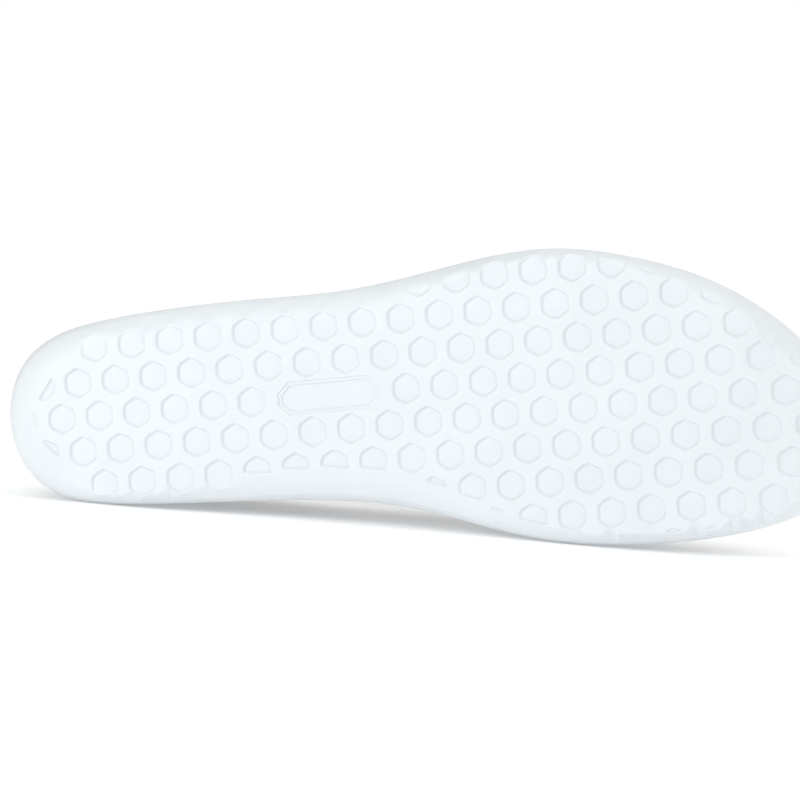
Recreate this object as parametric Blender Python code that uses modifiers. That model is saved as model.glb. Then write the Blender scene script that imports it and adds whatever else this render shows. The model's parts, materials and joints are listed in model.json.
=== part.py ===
"""A plain white slip-on shoe for the right foot, lying on its medial side.

The shoe is drawn standing: x runs from the heel tip to the toe tip, y points to the
medial side and z is up from the ground. The finished pieces hang on one empty, which
lays the shoe down on the medial edge of its sole and the medial side of its upper, so
that the tread faces -Y and the toe points to +X.
"""

import math
from collections import namedtuple

import bmesh
import bpy
import numpy as np
from mathutils import Matrix, Vector
from mathutils.geometry import intersect_ray_tri

# Driving dimensions, in metres
LENGTH = 0.2628
BALL_WIDTH = 0.0871
SEAT_HEIGHT = 0.022
BALL_BED_HEIGHT = 0.010
TOE_BED_HEIGHT = 0.019
CUP_DEPTH = 0.006
LIP_THICKNESS = 0.0026
LIP_ROUNDING = 0.0007
RIM_TAPER = 0.0015
ROLL_HEIGHT = 0.009
SIDE_FULLNESS = 0.65
ARCH_HEIGHT = 0.0028
TOE_SPRING = 0.0125
HEEL_BACK_HEIGHT = 0.083
INSTEP_HEIGHT = 0.090
TOE_BOX_HEIGHT = 0.047
UPPER_WALL = 0.0018
INSOLE_THICKNESS = 0.0035
INSOLE_SIDE_GAP = 0.0006
INSOLE_BEVEL = 0.25
GAP = 0.0003

# Tread pattern, in metres and degrees
PITCH = 0.012
ROW_ANGLE = -3.78
LATTICE_START = (0.0317, 0.0016)
POCKET_WIDTH = 0.0088
POCKET_FLOOR_WIDTH = 0.0075
POCKET_DEPTH = 0.0018
SMALLEST_POCKET = 0.08
CUTTER_REACH = 0.0006
PLAQUE_CELLS = ((5, 0), (6, 0), (7, 0))
PLAQUE_LENGTH = 0.0315
PLAQUE_WIDTH = 0.0096
PLAQUE_CHAMFER = 0.0032
PLAQUE_STEP = 0.0011
PLAQUE_STEP_DEPTH = 0.00045
PLAQUE_DRAFT = 0.2
SLOPE_REACH = 0.002

# Where the long profile turns, as shares of the length
ARCH_START = 0.13
ARCH_END = 0.76
SPRING_START = 0.82
SEAT_END = 0.20
BALL_BED_START = 0.74
THROAT = 0.56
TOE_ROUND_START = 0.80
TOE_ROUND_POWER = 2.4
LEAN_FADE = 0.10
HEEL_CURVE_END = 0.22

# Mesh fineness, the distance of points that are one, and the angle of a sharp edge
CURVE_STEPS = 40
REAR_STATIONS = 26
FRONT_STATIONS = 22
ROLL_STEPS = 4
UPPER_STRIPS = 10
MERGE_DISTANCE = 0.00002
SHARP_ANGLE = 35.0

# Density of each piece in kg per cubic metre, which decides how the shoe lies
DENSITIES = {"outsole": 480.0, "upper": 850.0, "insole": 180.0}

# Outline of the sole and the width of its rounded edge. The station is a share of the
# length, everything else a share of the ball width.
SoleRow = namedtuple("SoleRow", "station lateral medial lateral_roll medial_roll")
HEEL_TIP = SoleRow(0.0, -0.020, 0.020, 0.160, 0.160)
TOE_TIP = SoleRow(1.0, -0.140, 0.140, 0.070, 0.070)
SOLE_ROWS = (
    SoleRow(0.019, 0.175, 0.196, 0.165, 0.150),
    SoleRow(0.057, 0.264, 0.287, 0.138, 0.104),
    SoleRow(0.108, 0.310, 0.322, 0.098, 0.058),
    SoleRow(0.204, 0.351, 0.327, 0.085, 0.045),
    SoleRow(0.300, 0.375, 0.322, 0.080, 0.108),
    SoleRow(0.395, 0.394, 0.325, 0.090, 0.122),
    SoleRow(0.494, 0.446, 0.363, 0.090, 0.125),
    SoleRow(0.585, 0.502, 0.436, 0.050, 0.085),
    SoleRow(0.662, 0.518, 0.479, 0.035, 0.050),
    SoleRow(0.745, 0.482, 0.488, 0.035, 0.040),
    SoleRow(0.840, 0.388, 0.465, 0.055, 0.036),
    SoleRow(0.928, 0.202, 0.393, 0.070, 0.042),
    SoleRow(0.977, 0.020, 0.285, 0.070, 0.060),
)

# Share of the rounded edge that the tread pattern may run out over
RunOut = namedtuple("RunOut", "station lateral medial")
RUN_OUT_ROWS = (
    RunOut(0.00, 0.32, 0.32),
    RunOut(0.08, 0.50, 0.25),
    RunOut(0.16, 0.62, 0.05),
    RunOut(0.60, 0.62, 0.05),
    RunOut(0.80, 0.62, 0.30),
    RunOut(1.00, 0.62, 0.45),
)

# Cross-sections of the upper. The ridge is the height of the closed section over the
# ground as a share of the instep height, the fullness is the power of its curve, and
# the lean and swells are shares of the ball width.
UpperSection = namedtuple("UpperSection", "station ridge fullness lean lateral_swell medial_swell")
UPPER_SECTIONS = (
    UpperSection(0.00, 1.36, 4.0, 0.000, 0.018, 0.018),
    UpperSection(0.15, 1.34, 3.6, 0.000, 0.024, 0.026),
    UpperSection(0.30, 1.28, 3.1, 0.006, 0.030, 0.050),
    UpperSection(0.44, 1.14, 2.5, 0.020, 0.026, 0.062),
    UpperSection(0.56, 1.00, 2.1, 0.034, 0.020, 0.040),
    UpperSection(0.66, 0.83, 2.1, 0.040, 0.018, 0.022),
    UpperSection(0.76, 0.67, 2.2, 0.042, 0.018, 0.018),
    UpperSection(0.87, 0.55, 2.4, 0.036, 0.014, 0.014),
    UpperSection(1.00, 0.50, 2.5, 0.000, 0.000, 0.000),
)

# Top line of the collar: height over the ground as a share of the heel back's height
CollarRow = namedtuple("CollarRow", "station height")
COLLAR_ROWS = (
    CollarRow(0.00, 1.000),
    CollarRow(0.06, 0.975),
    CollarRow(0.14, 0.885),
    CollarRow(0.24, 0.800),
    CollarRow(0.34, 0.790),
    CollarRow(0.44, 0.860),
    CollarRow(0.50, 0.960),
)

# Heel curve of the upper in side view: a swell over the counter and a lean at the top
HEEL_SWELL = 0.0022
HEEL_LEAN = 0.0055
COLLAR_PINCH = 0.10

Ring = namedtuple("Ring", "x y out_x out_y roll side station")


def clear_scene():
    for item in list(bpy.data.objects):
        bpy.data.objects.remove(item, do_unlink=True)


def make_collection(name):
    collection = bpy.data.collections.new(name)
    bpy.context.scene.collection.children.link(collection)
    return collection


def make_material(name, colour, roughness):
    material = bpy.data.materials.new(name)
    material.use_nodes = True
    shader = material.node_tree.nodes["Principled BSDF"]
    shader.inputs["Base Color"].default_value = (*colour, 1.0)
    shader.inputs["Roughness"].default_value = roughness
    shader.inputs["Metallic"].default_value = 0.0
    return material


def column(rows, name):
    return np.array([getattr(row, name) for row in rows])


def smooth_step(start, end, value):
    share = np.clip((value - start) / (end - start), 0.0, 1.0)
    return share * share * (3.0 - 2.0 * share)


def smooth_table(places, values, wanted):
    """Monotone cubic curve through a table, which never overshoots its rows."""
    gaps = np.diff(places)
    slopes = np.diff(values) / gaps
    inner = np.where(slopes[:-1] * slopes[1:] > 0.0, slopes[:-1] + slopes[1:], 0.0) / 2.0
    limit = 3.0 * np.minimum(np.abs(slopes[:-1]), np.abs(slopes[1:]))
    inner = np.clip(inner, -limit, limit)
    tangents = np.concatenate([slopes[:1], inner, slopes[-1:]])
    index = np.clip(np.searchsorted(places, wanted) - 1, 0, len(gaps) - 1)
    gap = gaps[index]
    t = np.clip((wanted - places[index]) / gap, 0.0, 1.0)
    return (
        (1 + 2 * t) * (1 - t) ** 2 * values[index]
        + t * (1 - t) ** 2 * gap * tangents[index]
        + t * t * (3 - 2 * t) * values[index + 1]
        - t * t * (1 - t) * gap * tangents[index + 1]
    )


def closed_spline(points, per_span):
    """Points of a smooth closed curve through the given ones, spaced by their distance.

    The first two columns are the plan position, and any others are carried along.
    """
    count = len(points)
    after = np.roll(points, -1, axis=0)
    gap = np.linalg.norm((after - points)[:, :2], axis=1)[:, None]
    slope = (after - points) / gap
    matrix = np.zeros((count, count))
    for i in range(count):
        matrix[i, i - 1] = gap[i - 1, 0]
        matrix[i, i] = 2.0 * (gap[i - 1, 0] + gap[i, 0])
        matrix[i, (i + 1) % count] = gap[i, 0]
    bend = np.linalg.solve(matrix, 6.0 * (slope - np.roll(slope, 1, axis=0)))
    bend_after = np.roll(bend, -1, axis=0)
    curve = []
    for i in range(count):
        for t in np.arange(per_span) / per_span:
            near, far = (1.0 - t) * gap[i], t * gap[i]
            curve.append(
                (bend[i] * near**3 + bend_after[i] * far**3) / (6.0 * gap[i])
                + (points[i] / gap[i] - bend[i] * gap[i] / 6.0) * near
                + (after[i] / gap[i] - bend_after[i] * gap[i] / 6.0) * far
            )
    return np.array(curve)


def outline_curve():
    """The sole's outline as a closed curve of x, y and the width of the rounded edge."""
    medial = [(row.station, row.medial, row.medial_roll) for row in (HEEL_TIP, *SOLE_ROWS)]
    lateral = [(row.station, -row.lateral, row.lateral_roll) for row in (*SOLE_ROWS, TOE_TIP)]
    rows = np.array(medial + lateral[::-1])
    return closed_spline(rows * (LENGTH, BALL_WIDTH, BALL_WIDTH), CURVE_STEPS)


def stations():
    """Shares of the length, close together at the heel, at the throat and at the toe."""
    rear = (1.0 - np.cos(np.pi * np.arange(REAR_STATIONS) / REAR_STATIONS)) / 2.0
    front = (1.0 - np.cos(np.pi * np.arange(FRONT_STATIONS + 1) / FRONT_STATIONS)) / 2.0
    return np.concatenate([THROAT * rear, THROAT + (1.0 - THROAT) * front])


def outline_ring():
    """The outline at the stations: heel tip, medial side, toe tip, then lateral side."""
    curve = outline_curve()
    tangent = np.roll(curve, -1, axis=0) - np.roll(curve, 1, axis=0)
    tangent /= np.linalg.norm(tangent[:, :2], axis=1)[:, None]
    heel, toe = int(np.argmin(curve[:, 0])), int(np.argmax(curve[:, 0]))
    curve, tangent = np.roll(curve, -heel, axis=0), np.roll(tangent, -heel, axis=0)
    toe = (toe - heel) % len(curve)
    wrapped = np.vstack([curve, curve[:1]])
    wrapped_tangent = np.vstack([tangent, tangent[:1]])
    spots = curve[0, 0] + stations() * (curve[toe, 0] - curve[0, 0])

    def along(first, last, step, x):
        part = slice(first, last, step)
        at = wrapped[part, 0]
        fields = [wrapped[part, 1], -wrapped_tangent[part, 1], wrapped_tangent[part, 0]]
        return [np.interp(x, at, field) for field in (*fields, wrapped[part, 2])]

    medial = along(0, toe + 1, 1, spots)
    lateral = along(len(curve), toe - 1, -1, spots[1:-1])
    joined = [np.concatenate([one, two[::-1]]) for one, two in zip(medial, lateral)]
    x = np.concatenate([spots, spots[-2:0:-1]])
    size = np.hypot(joined[1], joined[2])
    side = np.concatenate([np.ones(len(spots)), -np.ones(len(spots) - 2)])
    station = np.concatenate([stations(), stations()[-2:0:-1]])
    return Ring(x, joined[0], joined[1] / size, joined[2] / size, joined[3], side, station)


def inset_plan(ring, inset):
    return ring.x - ring.out_x * inset, ring.y - ring.out_y * inset


def tread_height(x):
    """Height of the walking surface: flat heel, low arch, flat ball and toe spring."""
    share = x / LENGTH
    arch = np.clip((share - ARCH_START) / (ARCH_END - ARCH_START), 0.0, 1.0)
    spring = np.clip((share - SPRING_START) / (1.0 - SPRING_START), 0.0, None)
    return ARCH_HEIGHT * np.sin(np.pi * arch) ** 2 + TOE_SPRING * spring**2


def bed_height(x):
    """Height of the footbed inside the cup of the sole."""
    share = x / LENGTH
    down = smooth_step(SEAT_END, BALL_BED_START, share)
    up = np.clip((share - BALL_BED_START) / (1.0 - BALL_BED_START), 0.0, 1.0) ** 2
    drop = BALL_BED_HEIGHT - SEAT_HEIGHT
    return SEAT_HEIGHT + drop * down + (TOE_BED_HEIGHT - BALL_BED_HEIGHT) * up


def rim_height(x):
    return bed_height(x) + CUP_DEPTH


def loft(rings):
    """Mesh of quads between closed rings of equal length, as a bmesh and its vertex rings."""
    mesh = bmesh.new()
    verts = [[mesh.verts.new(point) for point in ring] for ring in rings]
    for low, high in zip(verts, verts[1:]):
        for i in range(len(low)):
            j = (i + 1) % len(low)
            mesh.faces.new((low[i], low[j], high[j], high[i]))
    return mesh, verts


def close_with_strips(mesh, ring):
    """Close a ring with strips that run across it from side to side."""
    count = len(ring)
    half = count // 2
    mesh.faces.new((ring[0], ring[1], ring[-1]))
    mesh.faces.new((ring[half - 1], ring[half], ring[half + 1]))
    for i in range(1, half - 1):
        mesh.faces.new((ring[i], ring[i + 1], ring[count - i - 1], ring[count - i]))


def finish_object(name, mesh, material, collection):
    """Turn a bmesh into a smooth shaded object."""
    data = bpy.data.meshes.new(name)
    mesh.to_mesh(data)
    mesh.free()
    data.shade_smooth()
    data.set_sharp_from_angle(angle=math.radians(SHARP_ANGLE))
    item = bpy.data.objects.new(name, data)
    item.data.materials.append(material)
    collection.objects.link(item)
    return item


def stack_ring(ring, inset, height):
    """Points of the ring at an inset, at a height given by a function of x."""
    x, y = inset_plan(ring, inset)
    return np.stack([x, y, height(x)], axis=1)


def roll_rings(ring):
    """The rounded edge, from the edge of the tread out to the widest outline."""
    inner = stack_ring(ring, ring.roll, tread_height)
    outer = stack_ring(ring, 0.0, tread_height)
    rings = []
    for step in range(ROLL_STEPS + 1):
        turn = math.pi / 2.0 * step / ROLL_STEPS
        points = inner + (outer - inner) * math.sin(turn)
        points[:, 2] += ROLL_HEIGHT * (1.0 - math.cos(turn))
        rings.append(points)
    return rings


def make_sole_body(ring):
    """Sole before its tread is cut: tread, rounded edge, side, lip and footbed."""
    rings = roll_rings(ring)
    widest = rings[-1]
    rim = stack_ring(ring, RIM_TAPER, rim_height)
    shoulder = rim - (0.0, 0.0, LIP_ROUNDING)
    middle = (widest + shoulder) / 2.0
    middle[:, :2] = (
        widest[:, :2] * SIDE_FULLNESS + shoulder[:, :2] * (1.0 - SIDE_FULLNESS)
    )
    inner = RIM_TAPER + LIP_THICKNESS
    rings += [middle, shoulder]
    rings.append(stack_ring(ring, RIM_TAPER + LIP_ROUNDING, rim_height))
    rings.append(stack_ring(ring, inner, rim_height))
    rings.append(stack_ring(ring, inner, bed_height))
    mesh, verts = loft(rings)
    close_with_strips(mesh, verts[0])
    close_with_strips(mesh, verts[-1])
    bmesh.ops.recalc_face_normals(mesh, faces=mesh.faces)
    return mesh


def cell_centre(i, j):
    """Plan position of a cell of the hexagon lattice. Rows run towards the toe."""
    along, across = PITCH * (i + j / 2.0), -PITCH * math.sqrt(0.75) * j
    turn = math.radians(ROW_ANGLE)
    x = LATTICE_START[0] + along * math.cos(turn) - across * math.sin(turn)
    y = LATTICE_START[1] + along * math.sin(turn) + across * math.cos(turn)
    return np.array([x, y])


def turned(points, centre):
    """Points drawn round the origin along a row, moved to a centre on the tread."""
    turn = math.radians(ROW_ANGLE)
    spin = np.array([[math.cos(turn), -math.sin(turn)], [math.sin(turn), math.cos(turn)]])
    return np.asarray(points) @ spin.T + centre


def hexagon(centre, width):
    radius = width / math.sqrt(3.0)
    angles = np.radians(30.0 + 60.0 * np.arange(6))
    return turned(radius * np.stack([np.cos(angles), np.sin(angles)], axis=1), centre)


def polygon_area(points):
    after = np.roll(points, -1, axis=0)
    return abs(np.sum(points[:, 0] * after[:, 1] - after[:, 0] * points[:, 1])) / 2.0


def clip_to_line(points, spot, outward):
    """The part of a convex polygon that lies on the inner side of a line."""
    beyond = (points - spot) @ outward
    kept = []
    for i in range(len(points)):
        j = (i + 1) % len(points)
        if beyond[i] <= 0.0:
            kept.append(points[i])
        if (beyond[i] <= 0.0) != (beyond[j] <= 0.0):
            share = beyond[i] / (beyond[i] - beyond[j])
            kept.append(points[i] + (points[j] - points[i]) * share)
    return np.array(kept)


def tread_limit(ring):
    """Line where the pattern ends, as its points and their outward directions."""
    rows = column(RUN_OUT_ROWS, "station")
    lateral = np.interp(ring.station, rows, column(RUN_OUT_ROWS, "lateral"))
    medial = np.interp(ring.station, rows, column(RUN_OUT_ROWS, "medial"))
    run_out = np.where(ring.side > 0.0, medial, lateral)
    x, y = inset_plan(ring, ring.roll * (1.0 - run_out))
    return np.stack([x, y], axis=1), np.stack([ring.out_x, ring.out_y], axis=1)


def pocket_outlines(ring):
    """Hexagons of the lattice that fit the tread, each cut off where the pattern ends."""
    spots, outward = tread_limit(ring)
    whole = polygon_area(hexagon(np.zeros(2), POCKET_WIDTH))
    reach = math.ceil(LENGTH / PITCH)
    across = math.ceil(BALL_WIDTH / PITCH)
    outlines = []
    for j in range(-across, across + 1):
        for i in range(-across, reach + across):
            if (i, j) in PLAQUE_CELLS:
                continue
            centre = cell_centre(i, j)
            near = int(np.argmin(np.linalg.norm(spots - centre, axis=1)))
            points = hexagon(centre, POCKET_WIDTH)
            points = clip_to_line(points, spots[near], outward[near])
            if len(points) > 2 and polygon_area(points) > SMALLEST_POCKET * whole:
                outlines.append((centre, points))
    return outlines


def add_recess(mesh, centre, outline, floor_outline, depth):
    """Add a closed cutter that sinks an outline into the tread, square to its surface."""
    rise = tread_height(centre[0] + SLOPE_REACH) - tread_height(centre[0] - SLOPE_REACH)
    tilt = math.atan2(rise, 2.0 * SLOPE_REACH)
    draft = (outline - floor_outline) * (CUTTER_REACH / depth)
    levels = ((outline + draft, -CUTTER_REACH), (floor_outline, depth))
    rings = []
    for points, level in levels:
        local = points - centre
        x = centre[0] + local[:, 0] * math.cos(tilt) - level * math.sin(tilt)
        z = tread_height(centre[0]) + local[:, 0] * math.sin(tilt) + level * math.cos(tilt)
        stacked = np.stack([x, points[:, 1], z], axis=1)
        rings.append([mesh.verts.new(point) for point in stacked])
    low, high = rings
    mesh.faces.new(low)
    mesh.faces.new(high)
    for i in range(len(low)):
        j = (i + 1) % len(low)
        mesh.faces.new((low[i], low[j], high[j], high[i]))


def plaque_outline(centre, shrink):
    """A long octagon: a rectangle with its corners cut off."""
    half_length, half_width = PLAQUE_LENGTH / 2.0 - shrink, PLAQUE_WIDTH / 2.0 - shrink
    inner_length = PLAQUE_LENGTH / 2.0 - PLAQUE_CHAMFER
    inner_width = PLAQUE_WIDTH / 2.0 - PLAQUE_CHAMFER
    quarter = [(half_length, inner_width), (inner_length, half_width)]
    points = []
    for flip_x, flip_y in ((1, 1), (-1, 1), (-1, -1), (1, -1)):
        corner = [(x * flip_x, y * flip_y) for x, y in quarter]
        points += corner if flip_x * flip_y > 0 else corner[::-1]
    return turned(points, centre)


def make_cutter(name, mesh, collection):
    bmesh.ops.recalc_face_normals(mesh, faces=mesh.faces)
    cutter = finish_object(name, mesh, make_material(name, (0.5, 0.5, 0.5), 0.5), collection)
    cutter.hide_render = True
    cutter.display_type = "WIRE"
    return cutter


def cut_with(item, cutter):
    cut = item.modifiers.new(cutter.name, "BOOLEAN")
    cut.operation = "DIFFERENCE"
    cut.solver = "EXACT"
    cut.object = cutter


def make_outsole(ring, parts, cutters):
    """One moulded unit: hexagon pockets and a bare two-step plaque sunk in its tread."""
    white = make_material("white_moulded_sole", (0.87, 0.90, 0.93), 0.42)
    sole = finish_object("outsole", make_sole_body(ring), white, parts)
    pockets = bmesh.new()
    shrink = POCKET_FLOOR_WIDTH / POCKET_WIDTH
    for centre, outline in pocket_outlines(ring):
        middle = outline.mean(axis=0)
        add_recess(pockets, centre, outline, middle + (outline - middle) * shrink, POCKET_DEPTH)
    cut_with(sole, make_cutter("tread_pockets", pockets, cutters))
    centre = cell_centre(*PLAQUE_CELLS[len(PLAQUE_CELLS) // 2])
    for step in range(2):
        plaque = bmesh.new()
        outline = plaque_outline(centre, step * PLAQUE_STEP)
        floor_outline = plaque_outline(centre, (step + PLAQUE_DRAFT) * PLAQUE_STEP)
        depth = (step + 1) * PLAQUE_STEP_DEPTH
        add_recess(plaque, centre, outline, floor_outline, depth)
        cut_with(sole, make_cutter(f"plaque_step_{step + 1}", plaque, cutters))
    return sole


def ridge_curve(base_z, station):
    """Height of the closed sections, rounded down to the base over the toe."""
    rows = column(UPPER_SECTIONS, "station")
    height = smooth_table(rows, column(UPPER_SECTIONS, "ridge"), station) * INSTEP_HEIGHT
    toe_box = TOE_BOX_HEIGHT / (UPPER_SECTIONS[-1].ridge * INSTEP_HEIGHT)
    height = height * (1.0 + (toe_box - 1.0) * smooth_step(THROAT, 1.0, station))
    over = np.clip((station - TOE_ROUND_START) / (1.0 - TOE_ROUND_START), 0.0, 1.0)
    return base_z + (height - base_z) * (
        1.0 - over**TOE_ROUND_POWER
    ) ** (1.0 / TOE_ROUND_POWER)


def collar_height(station, throat_z):
    """Height of the top line, which meets the ridge of the vamp at the throat."""
    rows = np.append(column(COLLAR_ROWS, "station"), THROAT)
    heights = np.append(column(COLLAR_ROWS, "height") * HEEL_BACK_HEIGHT, throat_z)
    return smooth_table(rows, heights, station)


def upper_grid(ring, side):
    """Outer surface of one side of the upper as stations by rows, base row first."""
    base_x, base_y = inset_plan(ring, RIM_TAPER + LIP_THICKNESS + GAP)
    half = len(ring.x) // 2
    medial = np.arange(half + 1)
    lateral = -np.arange(half + 1)
    own, other = (medial, lateral) if side > 0 else (lateral, medial)
    station = stations()
    rows = column(UPPER_SECTIONS, "station")
    lean = smooth_table(rows, column(UPPER_SECTIONS, "lean"), station) * BALL_WIDTH
    fullness = smooth_table(rows, column(UPPER_SECTIONS, "fullness"), station)
    swell_name = "medial_swell" if side > 0 else "lateral_swell"
    swell = smooth_table(rows, column(UPPER_SECTIONS, swell_name), station) * BALL_WIDTH
    middle_x = (base_x[own] + base_x[other]) / 2.0
    closing = np.clip(np.minimum(station, 1.0 - station) / LEAN_FADE, 0.0, 1.0)
    middle_y = (base_y[own] + base_y[other]) / 2.0 + lean * closing
    base_z = bed_height(base_x[own]) + GAP
    middle_z = bed_height(middle_x) + GAP
    ridge_z = ridge_curve(middle_z, station)
    throat_z = ridge_z[REAR_STATIONS]
    top_z = np.where(station < THROAT, collar_height(station, throat_z), ridge_z)
    top_share = np.clip((top_z - middle_z) / np.maximum(ridge_z - middle_z, 1e-9), 0.0, 1.0)
    top_share[REAR_STATIONS:] = 1.0
    rim_z = rim_height(base_x[own]) + GAP
    heel = np.clip(1.0 - station / HEEL_CURVE_END, 0.0, 1.0) ** 2
    grid = []
    for row in range(UPPER_STRIPS + 1):
        share = np.sin(np.arcsin(top_share) * row / UPPER_STRIPS)
        width = (1.0 - share**fullness) ** (1.0 / fullness)
        x = middle_x + (base_x[own] - middle_x) * width
        y = middle_y + (base_y[own] - middle_y) * width
        z = base_z + (ridge_z - base_z) * share
        above = np.clip((z - rim_z) / np.maximum(top_z - rim_z, 1e-6), 0.0, 1.0)
        belly = np.sin(np.pi * above) ** 2
        y = middle_y + (y - middle_y) * (1.0 - COLLAR_PINCH * above**2 * (station < THROAT) * heel)
        x = x + ring.out_x[own] * swell * belly + heel * (HEEL_LEAN * above**2 - HEEL_SWELL * belly)
        y = y + ring.out_y[own] * swell * belly
        grid.append(np.stack([x, y, z], axis=1))
    return np.array(grid).transpose(1, 0, 2)


def make_upper(ring, parts):
    """One hollow shell, open at the collar and underneath, where the sole closes it."""
    leather = make_material("white_leather", (0.88, 0.89, 0.90), 0.38)
    mesh = bmesh.new()
    for side in (1, -1):
        grid = upper_grid(ring, side)
        verts = [[mesh.verts.new(point) for point in line] for line in grid]
        for near, far in zip(verts, verts[1:]):
            for low in range(UPPER_STRIPS):
                face = (near[low], far[low], far[low + 1], near[low + 1])
                mesh.faces.new(face[::-1] if side > 0 else face)
    bmesh.ops.remove_doubles(mesh, verts=mesh.verts, dist=MERGE_DISTANCE)
    upper = finish_object("upper", mesh, leather, parts)
    wall = upper.modifiers.new("wall", "SOLIDIFY")
    wall.thickness = UPPER_WALL
    wall.offset = -1.0
    wall.use_even_offset = True
    return upper


def make_insole(ring, parts):
    """A loose sheet that covers the footbed inside the upper."""
    grey = make_material("pale_insole", (0.78, 0.78, 0.77), 0.8)
    edge = RIM_TAPER + LIP_THICKNESS + GAP + UPPER_WALL + INSOLE_SIDE_GAP
    rings = []
    bevel = INSOLE_THICKNESS * INSOLE_BEVEL
    for inset, lift in ((0.0, 0.0), (0.0, INSOLE_THICKNESS - bevel), (bevel, INSOLE_THICKNESS)):
        points = stack_ring(ring, edge + inset, bed_height)
        points[:, 2] += GAP + lift
        rings.append(points)
    mesh, verts = loft(rings)
    close_with_strips(mesh, verts[0])
    close_with_strips(mesh, verts[-1])
    bmesh.ops.recalc_face_normals(mesh, faces=mesh.faces)
    return finish_object("insole", mesh, grey, parts)


def final_triangles(item):
    """Corners of each triangle of an object with its modifiers, in standing coordinates."""
    evaluated = item.evaluated_get(bpy.context.evaluated_depsgraph_get())
    data = evaluated.to_mesh()
    data.calc_loop_triangles()
    places = np.array([vertex.co for vertex in data.vertices])
    corners = places[np.array([triangle.vertices for triangle in data.loop_triangles])]
    evaluated.to_mesh_clear()
    return corners


def centre_of_mass(pieces):
    total, moment = 0.0, np.zeros(3)
    for name, corners in pieces.items():
        volumes = np.einsum("ij,ij->i", corners[:, 0], np.cross(corners[:, 1], corners[:, 2])) / 6.0
        total += DENSITIES[name] * volumes.sum()
        moment += DENSITIES[name] * (volumes[:, None] * corners.sum(axis=1) / 4.0).sum(axis=0)
    return Vector(moment / total)


def floor_direction(points, centre):
    """Outward direction of the hull's facet on the medial side of the centre."""
    hull = bmesh.new()
    for point in points:
        hull.verts.new(point)
    bmesh.ops.convex_hull(hull, input=hull.verts)
    towards = Vector((0.0, 1.0, 0.0))
    found = None
    for face in hull.faces:
        corners = [vert.co for vert in face.verts[:3]]
        if face.normal.y > 0.0 and intersect_ray_tri(*corners, towards, centre):
            found = face.normal.copy()
    hull.free()
    return found


def lay_down(items):
    """Hang the pieces on an empty that rests the shoe on its medial side."""
    bpy.context.view_layer.update()
    pieces = {item.name: final_triangles(item) for item in items}
    points = np.unique(np.concatenate([corners.reshape(-1, 3) for corners in pieces.values()]), axis=0)
    down = floor_direction(points, centre_of_mass(pieces))
    up = -down
    forward = Vector((1.0, 0.0, 0.0))
    forward = (forward - forward.dot(up) * up).normalized()
    turn = Matrix((forward, up.cross(forward), up))
    placed = points @ np.array(turn).T
    low, high = placed.min(axis=0), placed.max(axis=0)
    shift = Vector((-(low[0] + high[0]) / 2.0, -(low[1] + high[1]) / 2.0, -low[2]))
    holder = bpy.data.objects.new("slip_on_shoe", None)
    holder.matrix_world = Matrix.Translation(shift) @ turn.to_4x4()
    items[0].users_collection[0].objects.link(holder)
    for item in items:
        item.parent = holder
    return holder


def main():
    clear_scene()
    parts = make_collection("slip_on_shoe")
    cutters = make_collection("cutters")
    ring = outline_ring()
    items = [
        make_outsole(ring, parts, cutters),
        make_upper(ring, parts),
        make_insole(ring, parts),
    ]
    holder = lay_down(items)
    for cutter in cutters.objects:
        cutter.parent = holder
    bpy.context.view_layer.update()


main()
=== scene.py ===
"""Looks of a plain white slip-on shoe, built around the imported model.

Shapes are worked out in the shoe's own standing frame: x runs from the heel tip to the
toe tip, y points to the medial side and z is up from the ground. The two mounts on the
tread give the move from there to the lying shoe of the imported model.
"""

import json
import math
from collections import namedtuple

import bmesh
import bpy
import numpy as np
from mathutils import Matrix, Vector
from mathutils.geometry import delaunay_2d_cdt


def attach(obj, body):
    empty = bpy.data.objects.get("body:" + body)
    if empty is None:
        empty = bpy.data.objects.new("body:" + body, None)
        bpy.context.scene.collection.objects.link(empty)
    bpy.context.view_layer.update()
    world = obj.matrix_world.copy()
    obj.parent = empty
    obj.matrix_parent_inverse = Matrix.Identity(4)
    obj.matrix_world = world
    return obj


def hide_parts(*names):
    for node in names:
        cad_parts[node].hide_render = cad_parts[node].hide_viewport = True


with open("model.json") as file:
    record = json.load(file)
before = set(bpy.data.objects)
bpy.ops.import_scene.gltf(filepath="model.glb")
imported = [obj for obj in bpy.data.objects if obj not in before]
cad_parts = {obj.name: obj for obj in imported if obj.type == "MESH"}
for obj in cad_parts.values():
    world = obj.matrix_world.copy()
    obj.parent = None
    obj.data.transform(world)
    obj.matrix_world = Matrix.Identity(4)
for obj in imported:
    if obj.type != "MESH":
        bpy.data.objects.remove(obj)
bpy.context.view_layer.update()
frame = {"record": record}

# The shoe's own sizes in metres, as in the part's source
LENGTH = 0.2628
BALL_WIDTH = 0.0871
SEAT_HEIGHT = 0.022
BALL_BED_HEIGHT = 0.010
TOE_BED_HEIGHT = 0.019
CUP_DEPTH = 0.006
LIP_THICKNESS = 0.0026
LIP_ROUNDING = 0.0007
RIM_TAPER = 0.0015
ROLL_HEIGHT = 0.009
ARCH_HEIGHT = 0.0028
TOE_SPRING = 0.0125
HEEL_BACK_HEIGHT = 0.083
INSTEP_HEIGHT = 0.090
TOE_BOX_HEIGHT = 0.047
UPPER_WALL = 0.0018
INSOLE_THICKNESS = 0.0035
INSOLE_SIDE_GAP = 0.0006
INSOLE_BEVEL = 0.25
GAP = 0.0003
HEEL_SWELL = 0.0022
HEEL_LEAN = 0.0055
COLLAR_PINCH = 0.10

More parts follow.
